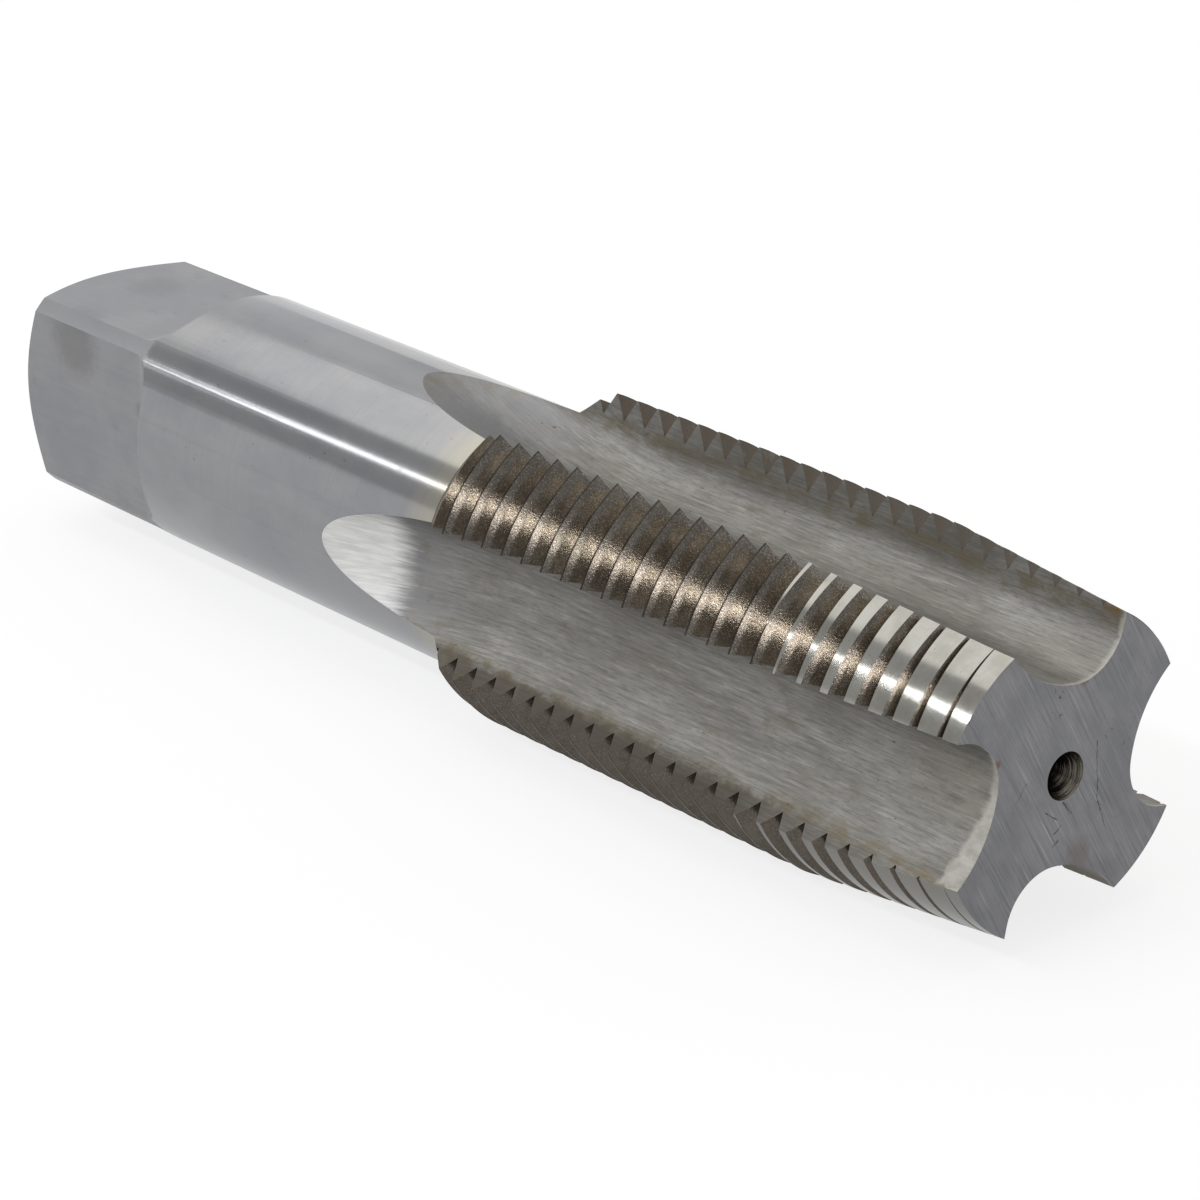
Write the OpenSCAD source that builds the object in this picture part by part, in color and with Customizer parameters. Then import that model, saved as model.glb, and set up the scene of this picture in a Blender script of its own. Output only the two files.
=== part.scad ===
// Hand tap with four straight flutes and a taper lead, ground from one steel bar.
// The drive end's flat face is at x = 0 and the cutting end is towards +X.
// It lies with two of its lands down, so a flute faces straight down and another straight up.

/* [Overall] */
// Length from the drive end's face to the cutting end's face
overall_l = 162; // [150:0.5:190]
// Diameter of the plain shank
shank_d = 31.2; // [26:0.1:32]

/* [Thread] */
// Diameter over the thread crests
thread_d = 38.1; // [36:0.05:42]
// Distance from one thread crest to the next
pitch = 3.175; // [2.5:0.025:4]
// Width of the flat left on each crest
crest_flat = 0.14; // [0.1:0.02:0.5]
// Width of the flat at each groove's root
root_flat = 0.06; // [0.04:0.02:0.3]
// Angle between the two flanks of a groove
flank_angle = 60; // [55:1:60]
// Length from the cutting end's face to the foot of the thread at the shank
thread_l = 79.4; // [60:0.2:90]
// Slope of the chamfer where the thread begins at the shank
thread_end_angle = 40; // [30:1:60]
// How far the first crest lies behind the cutting end's face, at the +Y side
first_crest = 1.975; // [0:0.025:3]

/* [Lead] */
// Diameter of the taper lead at the cutting end's face
lead_d = 33.1; // [32.6:0.1:35]
// Slope of the taper lead
lead_angle = 5.3; // [4:0.1:10]
// Sideways offset of the lead's axis on each land, which backs it off behind its cutting edge
lead_relief = 0.8; // [0:0.1:1.2]

/* [Flutes] */
// Number of flutes, and of lands between them
flutes = 4; // [3:1:4]
// Thickness of the core between the bottoms of the flutes
core_d = 18.7; // [16:0.1:21]
// Radius of the tight side of a flute, under the cutting face
hook_r = 5.7; // [4.5:0.1:6.5]
// Radius of the open side of a flute, at the next land's heel
heel_r = 13.1; // [10:0.1:14]
// Angle by which a flute's deepest line lies off its middle, towards the cutting face
hook_angle = 7.6; // [4:0.2:12]
// Slope of the cutting face against the flute's middle line
face_angle = 12.8; // [8:0.2:20]
// Length from the cutting end's face over which a flute keeps its full depth
flute_straight_l = 62; // [50:1:66]
// Radius of the arc on which a flute's bottom climbs out towards the shank
runout_r = 95.7; // [80:0.1:120]
// How far the climb leans over from the flute's middle line
runout_lean = 16.6; // [0:0.2:20]

/* [Square] */
// Width across the flats of the driving square
square_w = 23.4; // [21:0.1:25]
// Length of the flats at their full depth
square_l = 24.3; // [18:0.1:30]
// Radius of the hollow in which each flat ends
square_fillet_r = 5; // [4:0.5:8]
// Diameter of the flat face at the drive end
end_face_d = 22; // [16:0.5:23]
// Slope of the chamfer around that face, measured from the face
end_chamfer_angle = 35; // [20:1:50]

/* [Centre hole] */
// Mouth diameter of the centre hole in the cutting end
centre_d = 5; // [3:0.1:7]
// Angle of the centre hole's cone
centre_angle = 60; // [55:1:90]
// Diameter of the pilot hole beyond the cone
pilot_d = 2; // [1:0.1:2.8]
// Length of the pilot hole beyond the cone
pilot_l = 4; // [2:0.5:8]

/* [Hidden] */
$fn = 120;

// Extra reach of a cutter past the surface that it cuts through
over = 1;
thread_r = thread_d / 2;
shank_r = shank_d / 2;
lead_r = lead_d / 2;
half_square = square_w / 2;
thread_start_x = overall_l - thread_l;
groove_w = pitch - crest_flat;
groove_depth = (groove_w - root_flat) / 2 / tan(flank_angle / 2);
root_r = thread_r - groove_depth;

// The lands stand midway between the flutes, and the first flute faces +Y
flute_step = 360 / flutes;
land_centre = flute_step / 2;
// A cutter for one land reaches to the middle of the flutes beside it
sector = flute_step - 0.5;
// The bar's turned surface starts inside a flute, beside its middle
seam = 10;
core_r = core_d / 2;
runout_centre_r = core_r + runout_r;

// A right-hand thread moves on by one pitch in a full turn about +X
lead_tilt = atan(pitch / (PI * (thread_r + root_r)));
function crest_x(turn) = overall_l - first_crest + pitch * turn / 360;

steel = "#8f9094";

// Turns a shape drawn as (along the axis, outwards) about the X axis, from +Y towards +Z
module turned(start = 0, sweep = 360) {
    rotate([0, 90, 0])
        rotate([0, 0, 90 + start])
            rotate_extrude(angle = sweep, convexity = 8)
                rotate([0, 0, 90])
                    mirror([0, 1])
                        children();
}

// The turned bar: chamfered drive end, shank, and the thread's full diameter
module bar() {
    chamfer_l = (shank_r - end_face_d / 2) * tan(end_chamfer_angle);
    rise_l = (thread_r - shank_r) / tan(thread_end_angle);
    turned(seam)
        polygon([
            [0, 0],
            [0, end_face_d / 2],
            [chamfer_l, shank_r],
            [thread_start_x, shank_r],
            [thread_start_x + rise_l, thread_r],
            [overall_l, thread_r],
            [overall_l, 0]
        ]);
}

// One straight-sided groove, turned about the X axis over a land's sector.
// It reaches so little past the crests that it stays clear of the grooves beside it.
module groove() {
    reach = crest_flat / 2;
    flare = reach * tan(flank_angle / 2);
    turned(-sector / 2, sector)
        polygon([
            [-root_flat / 2, root_r],
            [-groove_w / 2 - flare, thread_r + reach],
            [groove_w / 2 + flare, thread_r + reach],
            [root_flat / 2, root_r]
        ]);
}

module land_grooves(turn) {
    root_x = crest_x(turn) + pitch / 2;
    count = ceil(thread_l / pitch) + 2;
    rotate([turn, 0, 0])
        for (i = [0 : count - 1])
            let (x = root_x - i * pitch)
                if (x > thread_start_x && x < overall_l + groove_w / 2)
                    translate([x, 0, 0])
                        rotate([0, lead_tilt, 0])
                            groove();
}

// What the taper lead takes off one land
module land_lead(turn) {
    lead_l = (thread_r + lead_relief + over - lead_r) / tan(lead_angle);
    front = over * tan(lead_angle);
    rotate([turn, 0, 0])
        translate([overall_l, 0, lead_relief])
            turned(-sector / 2, sector)
                polygon([
                    [-lead_l, thread_r + lead_relief + over],
                    [over, lead_r - front],
                    [over, thread_r + lead_relief + over]
                ]);
}

// A flute's section, with x outwards along its middle and y towards the heel that follows.
// Both sides touch the core at the deepest line: a tight hook there, and a wide arc away from it.
module flute_section() {
    far = thread_r + 2 * over;
    hook_x = core_r + hook_r;
    lean = face_angle - hook_angle;
    foot = [hook_x - hook_r * sin(lean), -hook_r * cos(lean)];
    rotate(-hook_angle) {
        intersection() {
            translate([core_r + heel_r, 0])
                circle(r = heel_r);
            square([core_r + 2 * heel_r + over, heel_r + over]);
        }
        intersection() {
            translate([hook_x, 0])
                circle(r = hook_r);
            translate([0, -hook_r - over])
                square([hook_x + hook_r + over, hook_r + over]);
        }
        polygon([
            [hook_x, 0],
            foot,
            foot + (far - foot.x) * [1, -tan(lean)],
            [far, 0]
        ]);
    }
}

// One flute's cutter: straight along the cutting end, then on an arc that climbs out.
// The arc starts exactly in the plane where the straight length ends.
module flute(turn) {
    climb = acos((runout_centre_r - shank_r - over) / runout_r);
    translate([overall_l - flute_straight_l, 0, 0])
        rotate([turn + runout_lean, 0, 0]) {
            rotate([90, 0, 90])
                linear_extrude(height = flute_straight_l + over)
                    rotate(-runout_lean)
                        flute_section();
            translate([0, runout_centre_r, 0])
                rotate([0, 180, 90])
                    rotate_extrude(angle = climb, convexity = 4)
                        translate([runout_centre_r, 0])
                            rotate(180 - runout_lean)
                                flute_section();
        }
}

// One flat's cutter, which ends in a hollow
module square_side(turn) {
    depth = shank_r - half_square + over;
    rotate([turn, 0, 0]) {
        translate([-over, half_square, -shank_r - over])
            cube([square_l + over, depth, 2 * (shank_r + over)]);
        intersection() {
            translate([square_l, half_square + square_fillet_r, -shank_r - over])
                cylinder(r = square_fillet_r, h = 2 * (shank_r + over));
            translate([0, half_square - over, -shank_r - over])
                cube([square_l + square_fillet_r, depth + over, 2 * (shank_r + over)]);
        }
    }
}

module centre_hole() {
    cone_l = (centre_d - pilot_d) / 2 / tan(centre_angle / 2);
    mouth_r = centre_d / 2 + over * tan(centre_angle / 2);
    turned()
        polygon([
            [overall_l - cone_l - pilot_l, 0],
            [overall_l - cone_l - pilot_l, pilot_d / 2],
            [overall_l - cone_l, pilot_d / 2],
            [overall_l + over, mouth_r],
            [overall_l + over, 0]
        ]);
}

// The bar with its square, centre hole, taper lead and flutes, still without a thread
module blank() {
    difference() {
        bar();
        for (side = [0 : 3])
            square_side(side * 90);
        centre_hole();
        for (i = [0 : flutes - 1])
            land_lead(land_centre + i * flute_step);
        for (i = [0 : flutes - 1])
            flute(i * flute_step);
    }
}

module tap() {
    color(steel)
        difference() {
            blank();
            for (i = [0 : flutes - 1])
                land_grooves(land_centre + i * flute_step);
        }
}

tap();
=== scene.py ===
# %% [markdown]
# # A hand tap for a large thread
#
# A tap cuts an inside thread. It is one steel bar: a square at one end for the wrench, a plain
# round shank, and a threaded end that four long flutes divide into four lands. Toward its front
# face the thread is ground away on a slight taper, the lead, so that it starts in a drilled hole.
#
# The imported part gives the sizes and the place. This script makes the piece that is looked at,
# around the same axis: X runs along the tap towards its cutting end, and Z is up.

from math import acos, cos, hypot, pi, radians, sin, tan

import bmesh
import bpy
from mathutils import Matrix, Vector


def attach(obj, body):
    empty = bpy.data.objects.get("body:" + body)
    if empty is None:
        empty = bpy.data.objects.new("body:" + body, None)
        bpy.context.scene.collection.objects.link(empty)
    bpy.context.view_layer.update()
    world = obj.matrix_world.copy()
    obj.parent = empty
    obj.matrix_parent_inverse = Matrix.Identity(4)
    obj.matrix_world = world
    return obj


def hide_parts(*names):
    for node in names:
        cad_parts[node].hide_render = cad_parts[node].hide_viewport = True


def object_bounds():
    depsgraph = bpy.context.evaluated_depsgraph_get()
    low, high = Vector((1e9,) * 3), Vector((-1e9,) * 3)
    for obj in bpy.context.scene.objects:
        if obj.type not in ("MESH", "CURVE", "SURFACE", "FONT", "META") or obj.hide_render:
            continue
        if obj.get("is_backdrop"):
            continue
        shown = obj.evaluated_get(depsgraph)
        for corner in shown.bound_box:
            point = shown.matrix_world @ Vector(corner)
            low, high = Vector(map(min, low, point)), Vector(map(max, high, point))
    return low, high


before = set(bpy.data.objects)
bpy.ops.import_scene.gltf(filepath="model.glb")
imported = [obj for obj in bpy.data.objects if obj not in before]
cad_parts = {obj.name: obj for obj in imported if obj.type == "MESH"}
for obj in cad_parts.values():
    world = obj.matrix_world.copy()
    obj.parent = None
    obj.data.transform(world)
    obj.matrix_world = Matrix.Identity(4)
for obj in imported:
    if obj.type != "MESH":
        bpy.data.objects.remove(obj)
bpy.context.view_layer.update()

# %% [markdown]
# ## The sizes
#
# Blender works in metres, and a machinist in millimetres, so every size below is written in
# millimetres times MM. An angle around the tap is measured from +Y towards +Z. The groove's depth
# isn't a size of its own: it follows from the pitch, the two flats and the angle of the flanks.

# %% Sizes of the tap
MM = 0.001
LENGTH = 162 * MM
SHANK_R = 15.6 * MM
THREAD_R = 19.045 * MM
PITCH = 3.175 * MM
CREST_FLAT = 0.14 * MM
ROOT_FLAT = 0.06 * MM
FLANK_ANGLE = radians(60)
THREAD_START = 82.6 * MM
THREAD_END_SLOPE = radians(40)
FIRST_CREST = 1.975 * MM
GROOVE_DEPTH = (PITCH - CREST_FLAT - ROOT_FLAT) / 2 / tan(FLANK_ANGLE / 2)
ROOT_R = THREAD_R - GROOVE_DEPTH
OVER = 1 * MM
print(f"root radius {1000 * ROOT_R:.2f} mm, groove depth {1000 * GROOVE_DEPTH:.2f} mm")

# %% [markdown]
# ## The camera
#
# The photograph was taken from above the cutting end's near side with a long lens. The place and
# the angles come from fitting the thread's crests, the shank and the front face to the picture.

# %% Camera
camera_data = bpy.data.cameras.new("camera")
camera_data.sensor_width = 36
camera_data.lens = 123.43
camera = bpy.data.objects.new("camera", camera_data)
camera.location = Vector((405.30, -265.30, 167.49)) * MM
camera.rotation_euler = (1.176538, 0.011781, 0.860843)
bpy.context.scene.collection.objects.link(camera)
bpy.context.scene.camera = camera
away = (camera.location - Vector((LENGTH / 2, 0, 0))).length
print("camera distance from the tap's middle, mm:", round(away / MM))

# %% [markdown]
# ## Shader maths in Python
#
# A material is a net of nodes. Drawn by hand it soon is hard to read, so a small class wraps one
# output socket, and an expression such as `1 - mask` adds the Math node that it needs. Every other
# node comes from one method, which sets the node's own settings first and its sockets after that.
# The same class serves the materials and the world.

# %% Wires between nodes
class Wire:
    """One output of a node, in the net that it belongs to."""

    def __init__(self, net, socket):
        self.net, self.socket = net, socket

    def out(self, name):
        """Another output of the same node."""
        return Wire(self.net, self.socket.node.outputs[name])

    def maths(self, operation, *others):
        """This value, then the others, through a Math node."""
        return self.net.maths(operation, self, *others)

    def __add__(self, other):
        return self.maths("ADD", other)

    def __sub__(self, other):
        return self.maths("SUBTRACT", other)

    def __rsub__(self, other):
        return self.net.maths("SUBTRACT", other, self)

    def __mul__(self, other):
        return self.maths("MULTIPLY", other)

    __radd__ = __add__
    __rmul__ = __mul__


# %% Nets of nodes
class Net:
    """The node tree of a material or of the world, filled one node at a time."""

    def __init__(self, tree):
        self.tree = tree

    def fill(self, node, sockets):
        """Links a wire to a socket, or sets the socket to a plain value."""
        for name, value in sockets.items():
            if isinstance(value, Wire):
                self.tree.links.new(value.socket, node.inputs[name])
            else:
                node.inputs[name].default_value = value

    def node(self, kind, settings=None, sockets=None):
        made = self.tree.nodes.new("ShaderNode" + kind)
        for name, value in (settings or {}).items():
            setattr(made, name, value)
        self.fill(made, sockets or {})
        return Wire(self, next(socket for socket in made.outputs if socket.enabled))

    def maths(self, operation, *values):
        return self.node("Math", {"operation": operation}, dict(enumerate(values)))

    def feed(self, name, sockets):
        """Fills the sockets of a node that the tree had from the start."""
        self.fill(self.tree.nodes[name], sockets)


class Paint(Net):
    """A new material."""

    def __init__(self, name):
        self.material = bpy.data.materials.new(name)
        self.material.use_nodes = True
        super().__init__(self.material.node_tree)


# %% [markdown]
# A finish is a paint that reads the place on the tap in millimetres, so that the width of a
# grinding mark can be written as it is measured. The patterns that several finishes share are its
# methods: noise that is stretched along the grinding, a soft step, a mix of two colours, a spot
# and a scratch. All of them are solid patterns in space, so they have no seams.

# %% A finish in the making
class Finish(Paint):
    """A material that follows the shape of the tap."""

    def __init__(self, name):
        super().__init__(name)
        metres = self.node("TexCoord").out("Object")
        self.place = self.node("VectorMath", {"operation": "SCALE"}, {0: metres, "Scale": 1 / MM})
        parts = self.node("SeparateXYZ", {}, {0: self.place})
        self.x, self.y, self.z = (parts.out(name) for name in "XYZ")
        across = self.node("VectorMath", {"operation": "MULTIPLY"}, {0: self.place, 1: (0, 1, 1)})
        self.radius = self.node("VectorMath", {"operation": "LENGTH"}, {0: across}).out("Value")

    def noise(self, grains, turn=0, detail=3, rough=0.6, place=None):
        """Noise with so many grains to a millimetre along X, Y and Z, turned about the tap's axis."""
        place = place or self.place
        if turn:
            place = self.node("Mapping", {}, {"Vector": place, "Rotation": (-turn, 0, 0)})
        place = self.node("Mapping", {}, {"Vector": place, "Scale": grains})
        return self.node("TexNoise", {}, {"Vector": place, "Scale": 1, "Detail": detail, "Roughness": rough})

    def step(self, value, start, end):
        """Rises softly from 0 at start to 1 at end; start may be the larger of the two."""
        return self.node("MapRange", {"interpolation_type": "SMOOTHSTEP"},
                         {"Value": value, "From Min": start, "From Max": end})

    def mix(self, mask, colour, other):
        """The colour where the mask is 0, and the other one where it is 1."""
        ends = [c if isinstance(c, Wire) else (*c, 1) for c in (colour, other)]
        return self.node("Mix", {"data_type": "RGBA"}, {0: mask, 6: ends[0], 7: ends[1]})

    def spot(self, centre, size, ragged=0):
        """1 at the centre, 0 from the size outwards, with a ragged outline if asked for."""
        far = self.node("VectorMath", {"operation": "DISTANCE"}, {0: self.place, 1: centre}).out("Value")
        if ragged:
            far = far + (self.noise((1.2, 1.2, 1.2)) - 0.5) * (2 * ragged)
        return self.step(far, size, 0.35 * size)

    def scratch(self, start, end, width):
        """A thin mark on the front face between two places given as (y, z)."""
        length = hypot(end[0] - start[0], end[1] - start[1])
        way = ((end[0] - start[0]) / length, (end[1] - start[1]) / length)
        local = self.node("VectorMath", {"operation": "SUBTRACT"}, {0: self.place, 1: (0, *start)})
        along, aside = (
            self.node("VectorMath", {"operation": "DOT_PRODUCT"}, {0: local, 1: (0, *axis)}).out("Value")
            for axis in (way, (-way[1], way[0])))
        wander = (self.noise((0.5, 0.5, 0.5), detail=4) - 0.5) * (6 * width)
        line = self.step((aside + wander).maths("ABSOLUTE"), width, 0.3 * width)
        return line * self.step(along, -0.1, 0.1) * self.step(along, length + 0.1, length - 0.1)

    def bump(self, height, depth, below=None):
        """Raises the surface by height times so many millimetres, on top of the bump below."""
        sockets = {"Strength": 1, "Distance": depth * MM, "Height": height}
        if below:
            sockets["Normal"] = below
        return self.node("Bump", {}, sockets)

    def steel(self, colour, roughness, normal, metallic=1):
        """Feeds the finished patterns to the surface."""
        self.feed("Principled BSDF", {
            "Base Color": colour, "Roughness": roughness, "Normal": normal, "Metallic": metallic})
        print(f"{self.material.name}: {len(self.tree.nodes)} nodes")
        return self.material


# %% [markdown]
# ## The ground shank
#
# The shank is ground round between centres and then softly polished. The wheel leaves very fine
# lines around it, which blur a reflection along the tap and keep it sharp across. Beside the
# thread the steel has a straw-coloured tinge, and the slope where the thread rises is as brown as
# the thread itself. The black line at the slope's foot is painted shade in that corner. In the
# photograph the bright reflections end where the square's hollows end, so the bar is taken to be
# satin around the square. The drive end is painted pale, a painted highlight along its rim.

# %% Shank finish
f = Finish("ground_shank")
rings = f.noise((4.5, 0.05, 0.05), detail=4)
waves = f.noise((0.8, 0.03, 0.03), detail=2)
cloud = f.noise((0.06, 0.11, 0.11), detail=4)
smoky = f.step(f.noise((0.16, 0.22, 0.22), detail=5, rough=0.65), 0.60, 0.74)
specks = f.step(f.noise((1.1, 1.6, 1.6), detail=2), 0.70, 0.78)
colour = f.mix(f.step(cloud, 0.35, 0.65), (0.252, 0.257, 0.274), (0.292, 0.294, 0.300))
colour = f.mix(smoky * 0.15, colour, (0.19, 0.19, 0.20))
colour = f.mix(f.step(rings, 0.45, 0.75) * 0.22, colour, (0.22, 0.22, 0.23))
colour = f.mix(specks * 0.5, colour, (0.13, 0.12, 0.11))
colour = f.mix(f.step(f.x + waves * 3, 78.5, 84.0) * 0.6, colour, (0.40, 0.375, 0.295))
rise = f.step(f.x, 82.62, 82.75)
colour = f.mix(rise, colour, (0.17, 0.14, 0.10))
# Painted shade: a black line in the corner at the foot of the slope.
colour = f.mix(f.step(f.x, 82.45, 82.6) * f.step(f.x, 82.95, 82.75), colour, (0.02, 0.018, 0.016))
satin = f.step(f.x + cloud * 1.5, 27.6, 26.4)
colour = f.mix(satin * 0.35, colour, (0.22, 0.222, 0.235))
# Painted highlight: the drive end and its rim are painted pale.
colour = f.mix(f.step(f.x, 0.7, 0.1) * 0.6, colour, (0.55, 0.56, 0.56))
roughness = 0.10 + rings * 0.07 + smoky * 0.03 + rise * 0.2 + satin * 0.24
ground_shank = f.steel(colour, roughness, f.bump(waves, 0.0006, f.bump(rings, 0.0012)))

# %% [markdown]
# ## The milled square
#
# The flats mirror nothing sharply, as if they were milled and then lightly blasted. They have a
# few soft darker patches. The hollow at a flat's end is a little glossier.

# %% Square finish
f = Finish("milled_square")
strokes = f.noise((0.06, 2.2, 2.2), detail=3)
cloud = f.noise((0.10, 0.13, 0.13), detail=5)
grain = f.noise((5, 5, 5), detail=2)
colour = f.mix(f.step(cloud, 0.35, 0.65), (0.252, 0.256, 0.272), (0.290, 0.292, 0.300))
colour = f.mix(f.step(strokes, 0.42, 0.70) * 0.14, colour, (0.20, 0.20, 0.21))
# A few soft darker patches on the flats, and more at random.
dark_patches = f.spot((11.4, -11.7, 8.4), 6.0, 1.5) * 0.36
dark_patches = dark_patches + f.spot((25.6, -11.7, 3.0), 2.4, 0.8) * 0.4
dark_patches = dark_patches + f.spot((25.6, -11.7, -1.2), 2.8, 1.0) * 0.42
dark_patches = dark_patches + f.spot((9.0, 2.0, 11.7), 5.0, 1.6) * 0.2
dark_patches = dark_patches + f.step(f.noise((0.2, 0.3, 0.3), detail=4), 0.60, 0.74) * 0.16
colour = f.mix(dark_patches, colour, (0.105, 0.10, 0.095))
# Painted highlight: the drive end and its rim are painted pale.
colour = f.mix(f.step(f.x, 0.7, 0.1) * 0.6, colour, (0.55, 0.56, 0.56))
hollow = f.step(f.x, 24.0, 25.2)
milled_square = f.steel(colour, 0.33 + cloud * 0.12 + grain * 0.06 - hollow * 0.06,
                        f.bump(grain, 0.0015, f.bump(strokes, 0.003)))

# %% [markdown]
# ## The ground flutes
#
# A flute is ground by a wheel that runs the whole length, so its marks are long fine lines along
# the tap. Where the wheel is lifted out they climb with it: the noise is read at the place less
# the height of that arc, and so the lines stay whole on the slope. Towards the shank the colour
# there is painted bluish grey as a reflection, and on the flutes at the sides a bright reflection
# is painted over it. Further on the flute is warm grey, with straw and brown stains beside the
# thread, dark specks from the grinding fluid, and a pale frosted rim at the front face. Along the
# margins of the lower flutes it is darker still, fading out towards the front.

# %% Flute finish
STRAIGHT = 62 * MM
RUNOUT_R = 95.7 * MM
f = Finish("ground_flute")
wheel_r = RUNOUT_R / MM
behind = (LENGTH - STRAIGHT) / MM - f.x
behind = behind.maths("MAXIMUM", 0)
climbed = wheel_r - (wheel_r ** 2 - behind * behind).maths("SQRT")
kept = 1 - climbed.maths("DIVIDE", f.radius)
path = f.node("CombineXYZ", {}, {"X": f.x, "Y": f.y * kept, "Z": f.z * kept})
brush = f.noise((0.20, 3.8, 3.8), detail=4, rough=0.62, place=path)
hairs = f.noise((0.80, 7.0, 7.0), detail=2, place=path)
cloud = f.noise((0.07, 0.16, 0.16), detail=5)
mottle = f.noise((0.45, 0.7, 0.7), detail=5, rough=0.65)
colour = f.mix(f.step(cloud, 0.36, 0.66), (0.188, 0.181, 0.166), (0.262, 0.256, 0.240))
colour = f.mix(f.step(brush, 0.46, 0.68) * 0.55, colour, (0.125, 0.119, 0.108))
colour = f.mix(f.step(brush, 0.46, 0.28) * 0.40, colour, (0.40, 0.392, 0.37))
colour = f.mix(f.step(hairs, 0.50, 0.68) * 0.42, colour, (0.115, 0.109, 0.098))
colour = f.mix(f.step(mottle, 0.45, 0.70) * 0.22, colour, (0.15, 0.14, 0.12))
# Painted reflection: bluish grey towards the shank.
cool_reflection = f.step(f.x + cloud * 8, 92, 80)
colour = f.mix(cool_reflection * 0.7, colour, (0.205, 0.206, 0.214))
# Painted highlight: a bright reflection on the run-out of the flutes that face +Y and -Y.
sideways = f.y.maths("ABSOLUTE") - f.z.maths("ABSOLUTE")
runout_highlight = f.step(f.x + brush * 3, 79.5, 75.0) * f.step(sideways, -3, 3)
runout_highlight_colour = f.mix(f.step(brush, 0.35, 0.65), (0.72, 0.715, 0.70), (0.58, 0.58, 0.575))
colour = f.mix(runout_highlight * 0.92, colour, runout_highlight_colour)

# %% Flute stains and rim
margin = f.step(f.radius + mottle * 2.6, 15.6, 17.6) * f.step(f.radius, 17.0, 16.4) * (1 - runout_highlight)
colour = f.mix(margin * f.step(mottle, 0.38, 0.60) * 0.55, colour, (0.185, 0.150, 0.090))
# The margins of the lower flutes are darker, fading out towards the front.
low_margin = f.step(f.radius + mottle * 2.6, 16.4, 18.0) * f.step(f.z, -3, -6) * f.step(f.x, 152, 128)
colour = f.mix(low_margin * 0.8, colour, (0.080, 0.069, 0.054))
stain = f.step(f.noise((0.22, 0.34, 0.34), detail=5, rough=0.7), 0.575, 0.70) * (1 - runout_highlight)
colour = f.mix(stain * 0.5, colour, (0.150, 0.132, 0.095))
specks = f.step(f.noise((0.9, 1.5, 1.5), detail=3, rough=0.7), 0.665, 0.74) * (1 - runout_highlight)
colour = f.mix(specks * 0.75, colour, (0.06, 0.048, 0.034))
foot = f.step(f.x, 147, 160) * f.step(f.radius, 13.5, 9.5)
colour = f.mix(foot * f.step(mottle, 0.3, 0.6) * 0.24, colour, (0.44, 0.42, 0.36))
wide = f.step(f.z, 5, -9) * f.step(f.y, 0, -6) * 2.5
frost = f.step(f.x + wide + mottle * 2.0, 162.3, 163.1)
frosted = f.mix(f.step(mottle, 0.35, 0.7), (0.58, 0.565, 0.52), (0.44, 0.428, 0.39))
colour = f.mix(frost * 0.8, colour, frosted)
rust = f.step(f.x, 156.5, 161.8) * f.step(mottle, 0.50, 0.62) * f.step(f.radius, 15.8, 16.6)
colour = f.mix(rust * 0.75, colour, (0.20, 0.12, 0.045))
roughness = 0.42 + brush * 0.12 + cloud * 0.08 + frost * 0.2 - runout_highlight * 0.16
relief = f.bump(hairs, 0.003, f.bump(brush, 0.007))
ground_flute = f.steel(colour, roughness, relief, 1 - specks * 0.4 - stain * 0.1)

# %% [markdown]
# ## The lead
#
# The taper runs bright across crests that are brown, so it was most likely ground last. Its
# grinding lines run around the axis. In the photograph the lead of the lower lands is duller than
# that of the near one. One picture can't tell whether that is the steel or only the light. Here it
# is part of the colour, which is a guess.

# %% Lead finish
f = Finish("ground_lead")
rings = f.noise((4.0, 0.10, 0.10), detail=3)
cloud = f.noise((0.3, 0.35, 0.35), detail=4)
colour = f.mix(f.step(cloud, 0.35, 0.65), (0.285, 0.279, 0.252), (0.340, 0.334, 0.310))
colour = f.mix(f.step(rings, 0.5, 0.8) * 0.3, colour, (0.25, 0.24, 0.215))
specks = f.step(f.noise((1.6, 1.6, 1.6), detail=3), 0.66, 0.74)
colour = f.mix(specks * 0.5, colour, (0.20, 0.15, 0.10))
colour = f.mix(f.step(f.z, 0, -4) * 0.8, colour, (0.185, 0.180, 0.166))
ground_lead = f.steel(colour, 0.08 + rings * 0.06 + cloud * 0.03, f.bump(rings, 0.0012))

# %% [markdown]
# ## The thread
#
# The flanks are bronze-brown, most likely a tarnish from hardening. It is thin and uneven, so
# bright steel glints through it as a fine speckle. The crests are painted as almost black lines
# and the roots darker, which is painted shade.
#
# On the land at the back and on the lower lands, the photograph shows only the ends of the grooves,
# as dark notches. The mask `other_lands` darkens the flanks there to match them. Part of that
# darkness may be shade and not tarnish, and the mask also covers flanks that are out of sight, so
# from behind the grooves look nearly black. A real tap is probably tarnished more evenly.

# %% Thread finish
f = Finish("thread_steel")
rings = f.noise((5.0, 0.25, 0.25), detail=3)
cloud = f.noise((0.22, 0.30, 0.30), detail=5, rough=0.65)
grain = f.noise((4.2, 4.2, 4.2), detail=3, rough=0.7)
glint = f.step(f.noise((7, 7, 7), detail=2), 0.52, 0.66)
colour = f.mix(f.step(cloud, 0.36, 0.64), (0.188, 0.166, 0.138), (0.270, 0.243, 0.205))
colour = f.mix(f.step(grain, 0.45, 0.72) * 0.55, colour, (0.13, 0.11, 0.09))
colour = f.mix(glint * 0.55, colour, (0.60, 0.57, 0.54))
other_lands = f.step(f.y, -5, 1) * f.step(f.z, 8, 12) + f.step(f.z, 2, -2) * 0.75
colour = f.mix(other_lands * 0.9, colour, (0.062, 0.050, 0.038))
green = f.step(f.noise((0.13, 0.22, 0.22), detail=4, rough=0.7), 0.58, 0.70)
colour = f.mix(green * 0.45, colour, (0.17, 0.165, 0.12))
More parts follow.
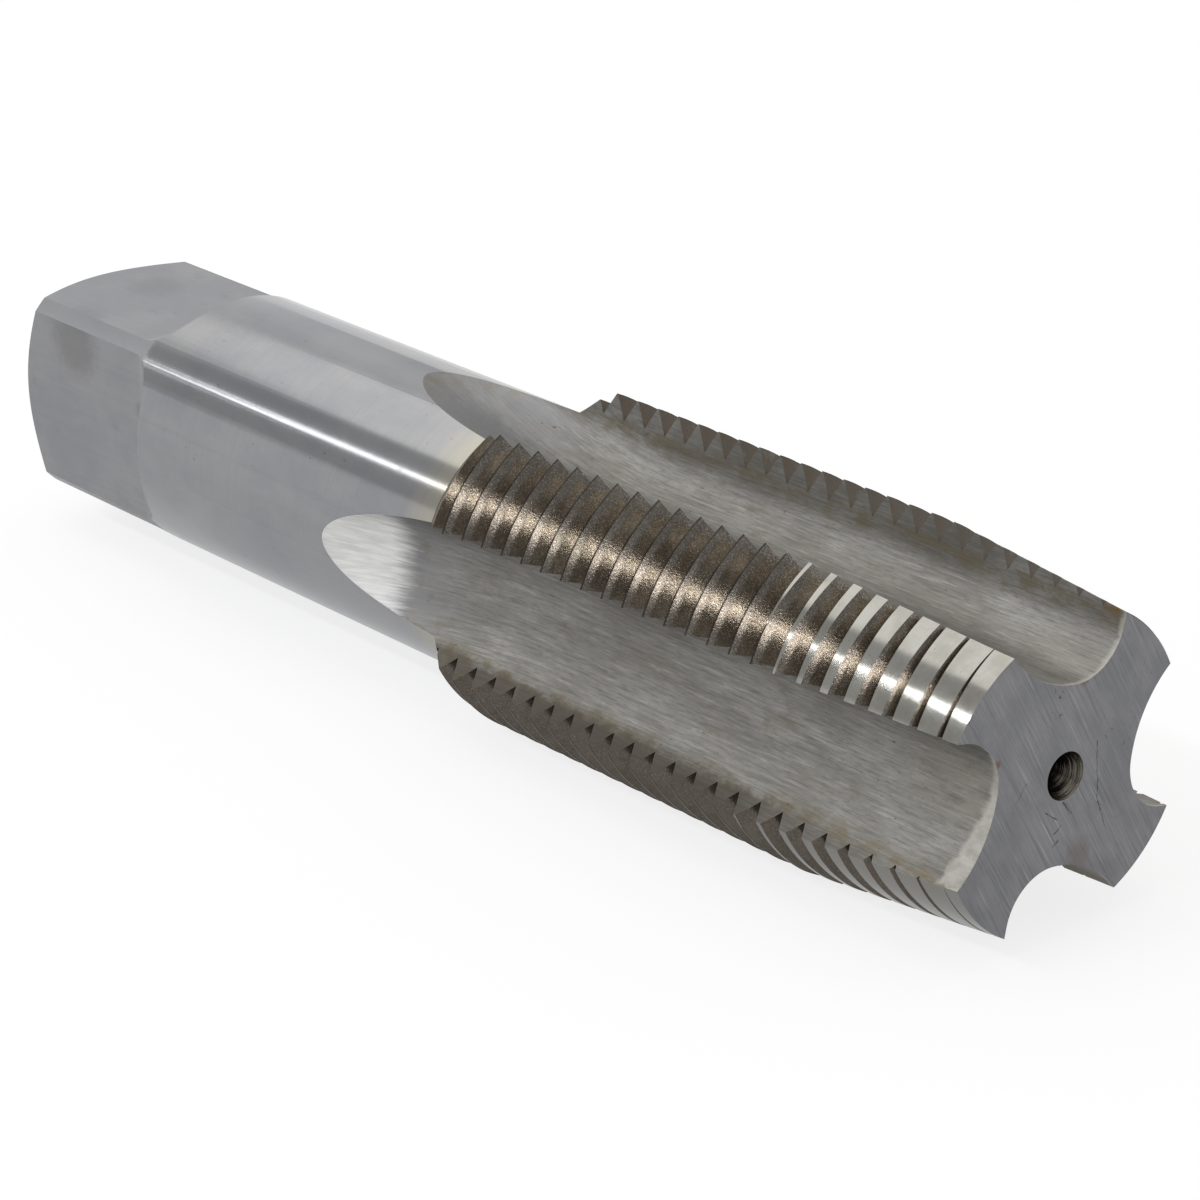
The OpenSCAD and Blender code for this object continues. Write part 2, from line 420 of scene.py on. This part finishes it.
# Painted shade: darker towards the roots of the grooves.
colour = f.mix(f.step(f.radius, 17.3, 16.55) * 0.55, colour, (0.045, 0.034, 0.024))
# Painted shade: the crests are painted as almost black lines.
crest_shade = f.step(f.radius, 18.95, 19.03)
colour = f.mix(crest_shade * 0.9, colour, (0.02, 0.016, 0.013))
flank_roughness = 0.07 + grain * 0.10
thread_steel = f.steel(colour, flank_roughness, f.bump(grain, 0.010, f.bump(rings, 0.002)), 1 - green * 0.25)

# %% [markdown]
# ## The front face
#
# The end is ground flat in one direction, so straight scratches cross it at a slant, all parallel,
# a few of them deep. Around the centre hole there are small cracks, dotted pits and one long bent
# scratch. Each of them is a mark of its own, placed where the photograph shows it.

# %% Face finish
GRAIN_WAY = radians(120)
f = Finish("ground_face")
fine = f.noise((1, 0.10, 4.0), turn=GRAIN_WAY, detail=4, rough=0.65)
coarse = f.noise((1, 0.035, 0.8), turn=GRAIN_WAY, detail=3)
hairs = f.noise((1, 0.11, 5.5), turn=GRAIN_WAY, detail=1)
cloud = f.noise((0.2, 0.16, 0.16), detail=4)
colour = f.mix(f.step(cloud, 0.35, 0.65), (0.186, 0.188, 0.198), (0.226, 0.227, 0.236))
colour = f.mix(f.step(fine, 0.50, 0.70) * 0.50, colour, (0.115, 0.116, 0.124))
colour = f.mix(f.step(fine, 0.45, 0.30) * 0.34, colour, (0.32, 0.322, 0.332))
colour = f.mix(f.step(coarse, 0.56, 0.66) * 0.22, colour, (0.14, 0.14, 0.147))
colour = f.mix(f.step(hairs, 0.66, 0.76) * 0.55, colour, (0.42, 0.42, 0.43))

# %% Marks on the face
marks = f.scratch((-0.22, -2.65), (1.07, -4.29), 0.13)
for start, end, width in (
        ((-2.69, -3.06), (-1.02, -4.34), 0.11), ((-1.42, -5.80), (-0.29, -5.11), 0.13),
        ((-0.74, -6.56), (-1.54, -7.15), 0.14), ((4.33, 2.47), (4.65, -4.02), 0.10),
        ((4.65, -4.02), (5.91, -7.29), 0.12), ((-5.37, 0.92), (-6.66, -0.76), 0.09)):
    marks = marks.maths("MAXIMUM", f.scratch(start, end, width))
marks = marks * (0.35 + 0.65 * f.step(f.noise((1.8, 1.8, 1.8), detail=2), 0.42, 0.56))
pits = f.scratch((-1.47, 9.76), (-1.05, 6.20), 0.55) * f.step(f.noise((2.4, 2.4, 2.4), detail=2), 0.56, 0.66)
marks = marks.maths("MAXIMUM", pits)
colour = f.mix(marks * 0.8, colour, (0.045, 0.04, 0.038))
brown = f.spot((162, 2.3, 9.4), 0.9, 0.3) * 0.5
brown = brown + f.spot((162, 2.4, -8.8), 2.2, 1.6) * 0.28
brown = brown + f.spot((162, -9.37, 4.08), 0.55, 0.2) * 0.8
colour = f.mix(brown, colour, (0.15, 0.088, 0.055))
specks = f.step(f.noise((1.3, 1.3, 1.3), detail=3), 0.69, 0.76)
colour = f.mix(specks * 0.5, colour, (0.06, 0.055, 0.05))
relief = f.bump(marks, -0.02, f.bump(fine, 0.010))
ground_face = f.steel(colour, 0.30 + fine * 0.14 + cloud * 0.05, relief, 1 - brown * 0.3)

# %% [markdown]
# ## The centre hole
#
# The drill that made the hole left turned rings on its cone, which catch the light as bright arcs.
# Here the colour is painted shade, dark all over and darker deeper in, and the rings are painted
# lighter as highlights of those arcs.

# %% Centre hole finish
f = Finish("bored_centre")
rings = f.noise((3.2, 0.15, 0.15), detail=3)
cloud = f.noise((0.6, 0.6, 0.6))
# Painted shade and highlight: the hole is dark, with its rings painted lighter as bright arcs.
colour = f.mix(f.step(rings, 0.40, 0.60), (0.13, 0.120, 0.100), (0.018, 0.016, 0.013))
# Painted shade: darker deeper in the hole.
colour = f.mix(f.step(f.x, 161.2, 159.6) * 0.85, colour, (0.03, 0.027, 0.024))
bored_centre = f.steel(colour, 0.12 + rings * 0.10 + cloud * 0.05, f.bump(rings, 0.09))

# %% [markdown]
# ## Small tools for the shape
#
# A turned shape is a profile spun about the axis. The profile is a chain of a few points, each one
# given as (along the axis, outwards), and `bmesh.ops.spin` does the rest. A full turn is merged,
# the points on the axis are welded, and the normals are turned outwards at the end.

# %% Profiles and lathe work
def chain(bm, points):
    """A chain of edges through points given as (along the axis, outwards)."""
    verts = [bm.verts.new((x, r, 0)) for x, r in points]
    return verts + [bm.edges.new(pair) for pair in zip(verts, verts[1:])]


def weld(bm, distance=0.002 * MM):
    bmesh.ops.remove_doubles(bm, verts=bm.verts, dist=distance)
    bmesh.ops.recalc_face_normals(bm, faces=bm.faces)


def finish_mesh(bm, name, *materials):
    mesh = bpy.data.meshes.new(name)
    bm.to_mesh(mesh)
    bm.free()
    for material in materials:
        mesh.materials.append(material)
    piece = bpy.data.objects.new(name, mesh)
    bpy.context.scene.collection.objects.link(piece)
    print(f"{name}: {len(mesh.vertices)} points, {len(mesh.polygons)} faces")
    return piece


def lathe(name, points, material, sides=144):
    bm = bmesh.new()
    bmesh.ops.spin(bm, geom=chain(bm, points), cent=(0, 0, 0), axis=(1, 0, 0),
                   angle=2 * pi, steps=sides, use_merge=True)
    weld(bm)
    return finish_mesh(bm, name, material)


# %% [markdown]
# The tap is made as the real one is: a turned blank first, then one cutting tool after another.
# Here a tool is a solid, and a Boolean takes it away. The tool's material stays on the faces that
# it cuts, so each ground surface gets its own finish without picking a face by hand.

# %% Cutting with a tool
def turned_copies(bm, count):
    """Repeats all that the mesh holds around the X axis, count times in all."""
    geom = bm.verts[:] + bm.edges[:] + bm.faces[:]
    bmesh.ops.spin(bm, geom=geom, cent=(0, 0, 0), axis=(1, 0, 0), angle=2 * pi * (count - 1) / count,
                   steps=count - 1, use_duplicate=True)


def cut(piece, tool, operation):
    """Cuts, joins or intersects the piece with the tool, then throws the tool away."""
    step = piece.modifiers.new(operation, "BOOLEAN")
    step.operation = operation
    step.solver = "EXACT"
    step.material_mode = "TRANSFER"
    step.object = tool
    shaped = bpy.data.meshes.new_from_object(piece.evaluated_get(bpy.context.evaluated_depsgraph_get()))
    piece.modifiers.clear()
    piece.data = shaped
    bpy.data.objects.remove(tool)
    print(f"{piece.name} {operation.lower()}: {len(shaped.polygons)} faces")


# %% [markdown]
# ## The turned blank
#
# One profile holds the flat drive end, its chamfer, the shank, and the slope that rises to a
# little more than the thread's diameter. Only the front face takes another finish.

# %% Turned blank
END_FACE_R = 11 * MM
CHAMFER_SLOPE = radians(35)
chamfer = (SHANK_R - END_FACE_R) * tan(CHAMFER_SLOPE)
blank_r = THREAD_R + OVER
tap = lathe("tap_body", [
    (0, 0), (0, END_FACE_R), (chamfer, SHANK_R), (THREAD_START, SHANK_R),
    (THREAD_START + (blank_r - SHANK_R) / tan(THREAD_END_SLOPE), blank_r), (LENGTH, blank_r), (LENGTH, 0),
], ground_shank)
tap.data.materials.append(ground_face)
for face in tap.data.polygons:
    face.material_index = int(face.center.x > LENGTH - 0.001 * MM)

# %% [markdown]
# ## The flutes
#
# A flute's section is a tight hook under the cutting face and a wide arc towards the next land's
# heel. Each arc is a point spun about its centre. The closed outline is filled, pushed along the
# straight length, and then spun about a far centre, which lifts it out of the steel on the way to
# the shank, as the wheel is lifted on the machine. The face inside, between the two sweeps, is
# deleted again, because a Boolean needs a tool with one clean skin.

# %% Section of a flute
FLUTES = 4
CORE_R = 9.35 * MM
HOOK_R = 5.7 * MM
HEEL_R = 13.1 * MM
HOOK_TURN = radians(7.6)
FACE_SLOPE = radians(12.8)


def arc(bm, start, centre, angle, steps):
    """Carries the chain on from start around the centre, in the plane across the tap."""
    made = bmesh.ops.spin(bm, geom=[start], cent=centre, axis=(1, 0, 0), angle=angle, steps=steps)
    return next(v for v in made["geom_last"] if isinstance(v, bmesh.types.BMVert))


def across(x, reach, turn, side=0):
    """A point at x, so far out in the direction of that turn, and so far aside of it."""
    return Vector((x, reach * cos(turn) - side * sin(turn), reach * sin(turn) + side * cos(turn)))


bm = bmesh.new()
front = LENGTH + OVER
deepest = bm.verts.new(across(front, CORE_R, -HOOK_TURN))
foot = arc(bm, deepest, across(front, CORE_R + HOOK_R, -HOOK_TURN), pi / 2 - (FACE_SLOPE - HOOK_TURN), 20)
heel = arc(bm, deepest, across(front, CORE_R + HEEL_R, -HOOK_TURN), -radians(75), 24)
face_end = bm.verts.new(foot.co + across(0, 14 * MM, -FACE_SLOPE))
bm.edges.new((foot, face_end))
bm.edges.new((face_end, heel))
bmesh.ops.contextual_create(bm, geom=bm.edges[:])
print("outline points of a flute:", len(bm.verts))

# %% Sweep of the flutes
RUNOUT_LEAN = radians(16.6)
swept = bmesh.ops.extrude_face_region(bm, geom=bm.faces[:])["geom"]
bmesh.ops.translate(bm, vec=(-STRAIGHT - OVER, 0, 0),
                    verts=[v for v in swept if isinstance(v, bmesh.types.BMVert)])
straight_end = [g for g in swept if isinstance(g, bmesh.types.BMFace)]
climb = acos((CORE_R + RUNOUT_R - SHANK_R - OVER) / RUNOUT_R)
bmesh.ops.spin(bm, geom=straight_end, cent=across(LENGTH - STRAIGHT, CORE_R + RUNOUT_R, RUNOUT_LEAN),
               axis=across(0, 0, RUNOUT_LEAN, -1), angle=climb, steps=32)
bmesh.ops.delete(bm, geom=straight_end, context="FACES_ONLY")
turned_copies(bm, FLUTES)
weld(bm)
flute_wheel = finish_mesh(bm, "flute_wheel", ground_flute)
cut(tap, flute_wheel, "DIFFERENCE")

# %% [markdown]
# ## The taper lead
#
# The lead is a cone, and on each land it is shifted a little sideways, so that the cutting edge
# stands proud of the rest of the land. That shift is why it can't be one cone for all four lands:
# the tool is a ring sector with a triangle for its section, shifted, and then repeated.

# %% Lead
LEAD_R = 16.55 * MM
LEAD_SLOPE = radians(5.3)
LEAD_RELIEF = 0.8 * MM
SECTOR = radians(89.5)
outer = THREAD_R + LEAD_RELIEF + 2 * OVER
bm = bmesh.new()
bm.faces.new([bm.verts.new((LENGTH + x, r, 0)) for x, r in (
    ((LEAD_R - outer) / tan(LEAD_SLOPE), outer), (OVER, LEAD_R - OVER * tan(LEAD_SLOPE)), (OVER, outer))])
bmesh.ops.rotate(bm, verts=bm.verts, cent=(0, 0, 0), matrix=Matrix.Rotation(-SECTOR / 2, 3, "X"))
bmesh.ops.spin(bm, geom=bm.faces[:], cent=(0, 0, 0), axis=(1, 0, 0), angle=SECTOR, steps=60)
bmesh.ops.translate(bm, vec=(0, 0, LEAD_RELIEF), verts=bm.verts)
bmesh.ops.rotate(bm, verts=bm.verts, cent=(0, 0, 0), matrix=Matrix.Rotation(pi / FLUTES, 3, "X"))
turned_copies(bm, FLUTES)
weld(bm)
lead_wheel = finish_mesh(bm, "lead_wheel", ground_lead)
cut(tap, lead_wheel, "DIFFERENCE")

# %% [markdown]
# ## The driving square
#
# Four flats make the square, and each one ends in a hollow with the milling cutter's radius. The
# tool's outline is drawn once on one side: a line along the flat, a quarter circle up, and back.

# %% Square
HALF_SQUARE = 11.7 * MM
SQUARE_LENGTH = 24.3 * MM
SQUARE_FILLET = 5 * MM
half_width = HALF_SQUARE - 0.1 * MM
bm = bmesh.new()
corner = bm.verts.new((-OVER, HALF_SQUARE, -half_width))
flat_end = bm.verts.new((SQUARE_LENGTH, HALF_SQUARE, -half_width))
made = bmesh.ops.spin(bm, geom=[flat_end], cent=(SQUARE_LENGTH, HALF_SQUARE + SQUARE_FILLET, -half_width),
                      axis=(0, 0, 1), angle=pi / 2, steps=16)
hollow_end = next(v for v in made["geom_last"] if isinstance(v, bmesh.types.BMVert))
top = bm.verts.new((-OVER, HALF_SQUARE + SQUARE_FILLET, -half_width))
for pair in ((corner, flat_end), (hollow_end, top), (top, corner)):
    bm.edges.new(pair)
bmesh.ops.contextual_create(bm, geom=bm.edges[:])
swept = bmesh.ops.extrude_face_region(bm, geom=bm.faces[:])["geom"]
bmesh.ops.translate(bm, vec=(0, 0, 2 * half_width),
                    verts=[v for v in swept if isinstance(v, bmesh.types.BMVert)])
turned_copies(bm, 4)
weld(bm)
square_cutter = finish_mesh(bm, "square_cutter", milled_square)
cut(tap, square_cutter, "DIFFERENCE")

# %% [markdown]
# ## The centre hole
#
# The bar was held between centres while it was ground. What is left of that is a small cone with
# a pilot hole, and the drill that cuts it is a lathe part too.

# %% Centre drill
CENTRE_R = 2.5 * MM
CENTRE_SLOPE = radians(30)
PILOT_R = 1 * MM
PILOT_LENGTH = 4 * MM
cone = (CENTRE_R - PILOT_R) / tan(CENTRE_SLOPE)
centre_drill = lathe("centre_drill", [
    (LENGTH - cone - PILOT_LENGTH, 0), (LENGTH - cone - PILOT_LENGTH, PILOT_R), (LENGTH - cone, PILOT_R),
    (LENGTH + OVER, CENTRE_R + OVER * tan(CENTRE_SLOPE)), (LENGTH + OVER, 0),
], bored_centre, sides=64)
cut(tap, centre_drill, "DIFFERENCE")

# %% [markdown]
# ## The thread
#
# A screw is a spin that also moves along its axis: `dvec` is how far each small step carries the
# profile. One tooth is spun so many turns that it covers the whole threaded end, and the edges of
# neighbouring turns meet and are welded. Two cuts trim the ends flat and a fill closes them. A
# plain cylinder, a little thinner than the thread's root, joins it on the shank's side, and the
# blank is then cut down to what lies inside this screw.

# %% Screw
THREAD_SIDES = 144
turns = 29
start = LENGTH - FIRST_CREST - (turns - 2) * PITCH
bm = bmesh.new()
tooth = chain(bm, [
    (start - PITCH / 2 + ROOT_FLAT / 2, ROOT_R), (start - CREST_FLAT / 2, THREAD_R),
    (start + CREST_FLAT / 2, THREAD_R), (start + PITCH / 2 - ROOT_FLAT / 2, ROOT_R),
    (start + PITCH / 2 + ROOT_FLAT / 2, ROOT_R),
])
bmesh.ops.spin(bm, geom=tooth, cent=(0, 0, 0), axis=(1, 0, 0), dvec=(PITCH / THREAD_SIDES, 0, 0),
               angle=2 * pi * turns, steps=turns * THREAD_SIDES)
weld(bm, 0.02 * MM)
for x, outwards in ((THREAD_START - 2 * MM, -1), (LENGTH + OVER / 2, 1)):
    bmesh.ops.bisect_plane(bm, geom=bm.verts[:] + bm.edges[:] + bm.faces[:], dist=1e-7, plane_co=(x, 0, 0),
                           plane_no=(outwards, 0, 0), clear_outer=True)
    rim = [e for e in bm.edges if e.is_boundary and all(abs(v.co.x - x) < 1e-6 for v in e.verts)]
    bmesh.ops.contextual_create(bm, geom=rim)
bmesh.ops.recalc_face_normals(bm, faces=bm.faces)
print("open edges in the screw:", sum(e.is_boundary for e in bm.edges))
screw = finish_mesh(bm, "screw", thread_steel)

# %% Blank cut down to the screw
CLEARANCE = 0.25 * MM
CORE_END = LENGTH / 2 + 20 * MM
core = lathe("core", [
    (-OVER, 0), (-OVER, ROOT_R - CLEARANCE), (CORE_END, ROOT_R - CLEARANCE), (CORE_END, 0),
], thread_steel)
cut(screw, core, "UNION")
cut(tap, screw, "INTERSECT")

# %% [markdown]
# Faces that meet at a small angle are facets of one round surface and are shaded smoothly. Every
# real edge of a ground tool is sharp, so wider angles stay hard. Then the piece is tied to the
# imported part: it rides on its one body and stands for its one node.

# %% Shading and place
tap.data.shade_smooth()
tap.data.set_sharp_from_angle(angle=radians(28))
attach(tap, "root")
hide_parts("tap")
print("finishes:", [material.name for material in tap.data.materials])

# %% [markdown]
# ## Floor and daylight
#
# The tap lies on a plain pale floor. The camera and the reflections see it almost white, through
# a part of emission that only their rays meet, and the rest of it still takes the shadow. The
# world does the same: white to look at and to mirror, and a plain level of light otherwise.

# %% Floor
low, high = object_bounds()
bm = bmesh.new()
bmesh.ops.create_grid(bm, x_segments=1, y_segments=1, size=6)
bmesh.ops.translate(bm, vec=(LENGTH / 2, 0, low.z), verts=bm.verts)

f = Paint("floor")
f.feed("Principled BSDF", {"Base Color": (0.88, 0.88, 0.88, 1), "Roughness": 0.9})
lit = Wire(f, f.tree.nodes["Principled BSDF"].outputs[0])
glow = f.node("Emission", {}, {"Color": (1, 1, 1, 1), "Strength": 1.06})
rays = f.node("LightPath")
mirrored = rays.out("Is Glossy Ray") + rays.out("Is Transmission Ray")
both = f.node("MixShader", {}, {0: rays.out("Is Camera Ray") * 0.75 + mirrored * 0.4, 1: lit, 2: glow})
f.feed("Material Output", {"Surface": both})
floor = finish_mesh(bm, "floor", f.material)
floor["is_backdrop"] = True

# %% World
WORLD_LEVEL = 0.6
world = bpy.data.worlds.new("studio")
world.use_nodes = True
bpy.context.scene.world = world
sky = Net(world.node_tree)
rays = sky.node("LightPath")
mirrored = rays.out("Is Glossy Ray").maths("MAXIMUM", rays.out("Is Transmission Ray"))
seen = rays.maths("MAXIMUM", mirrored)
level = sky.node("MapRange", {}, {"Value": seen, "To Min": WORLD_LEVEL})
sky.feed("Background", {"Color": (1, 1, 1, 1), "Strength": level})
bpy.context.scene.view_settings.view_transform = "Standard"
print("world level for soft light:", WORLD_LEVEL)

# %% [markdown]
# ## Lamps and cards
#
# Polished steel shows its surroundings more than its own colour. A wide softbox overhead gives
# the broad pale band along the shank, and a narrow strip lamp gives the thin bright line. A dark
# card behind the strip keeps the steel dark on both sides of that line, which is how a
# photographer draws the edge of a shiny cylinder.
#
# The thread mirrors other places. The flanks lean forward, so the top of a tooth shows the darker
# room behind the camera, where a small lamp adds a glint. Deeper down, light is mirrored by one
# flank and then by the next, and comes from beyond the end of the strip. A second strip stands
# there, and gives the row of bright patches that runs across the grooves. Brown steel takes most
# of the light at each of the two mirrorings, so this lamp is 33 times as bright as white. Its
# level and its faint blue were fitted to the photograph's view.
#
# The cards and lamps are far away and can't be seen by the camera, and the cards throw no shadow.

# %% Lamps
def facing(place, target, along):
    """The turn of a flat thing at that place that looks at the target, its long side that way."""
    away = (place - target).normalized()
    long_side = (along - away * along.dot(away)).normalized()
    return Matrix((long_side, away.cross(long_side), away)).transposed()


def lamp(name, place, target, along, length, width, level, colour=(1, 1, 1)):
    """A lamp of so many metres that looks as bright as that level, 1 being white."""
    data = bpy.data.lights.new(name, "AREA")
    data.shape = "RECTANGLE"
    data.size, data.size_y = length, width
    data.energy = level * pi * length * width
    data.color = colour
    made = bpy.data.objects.new(name, data)
    made.matrix_world = Matrix.Translation(place) @ facing(place, target, along).to_4x4()
    made.visible_camera = False
    bpy.context.scene.collection.objects.link(made)
    print(f"{name}: {data.energy:.2f} W")


ALONG_TAP = Vector((1, 0, 0))
THREADS = Vector((120, -13, 11)) * MM
LAMP_AWAY = 1.5
for name, x, turn, length, width, level, colour in (
        ("softbox", -0.735, 89, 2.27, 1.27, 0.68, (1, 0.975, 0.91)),
        ("strip", -1.28, 132, 1.20, 0.054, 8, (1, 1, 1)),
        ("groove_strip", -0.20, 134, 0.90, 0.070, 33, (0.94, 0.96, 1.0))):
    lamp(name, across(x, LAMP_AWAY, radians(turn)), across(x, 0, 0), ALONG_TAP, length, width, level, colour)
lamp("glint", Vector((2.05, -0.245, 0.475)), THREADS, Vector((0.12, 0.19, -0.126)),
     0.50, 0.11, 6, (1, 0.94, 0.90))


# %% Cards
def card(name, place, target, along, length, width, level):
    """A dark sheet that only mirror images show."""
    bm = bmesh.new()
    bmesh.ops.create_grid(bm, x_segments=1, y_segments=1, size=0.5)
    bmesh.ops.scale(bm, vec=(length, width, 1), verts=bm.verts)
    bmesh.ops.rotate(bm, verts=bm.verts, cent=(0, 0, 0), matrix=facing(place, target, along))
    bmesh.ops.translate(bm, vec=place, verts=bm.verts)
    f = Paint(name)
    f.feed("Material Output", {"Surface": f.node("Emission", {}, {"Color": (level, level, level, 1)})})
    made = finish_mesh(bm, name, f.material)
    made.visible_camera = made.visible_diffuse = made.visible_shadow = made.visible_transmission = False
    made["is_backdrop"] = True


CARD_X = -1.35
card("strip_card", across(CARD_X, 1.6, radians(132.5)), across(CARD_X, 0, 0), ALONG_TAP, 1.9, 1.12, 0.6)
card("room_card", Vector((2.33, -0.89, 0.87)), THREADS, Vector((0, 0, 1)), 1.7, 3.6, 0.35)

# %% [markdown]
# ## The sizes once more
#
# The piece must not be larger than the imported part, so its box is printed.

# %% Boxes
low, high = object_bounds()
print("visual box, mm:", [round(1000 * v, 2) for v in (*low, *high)])
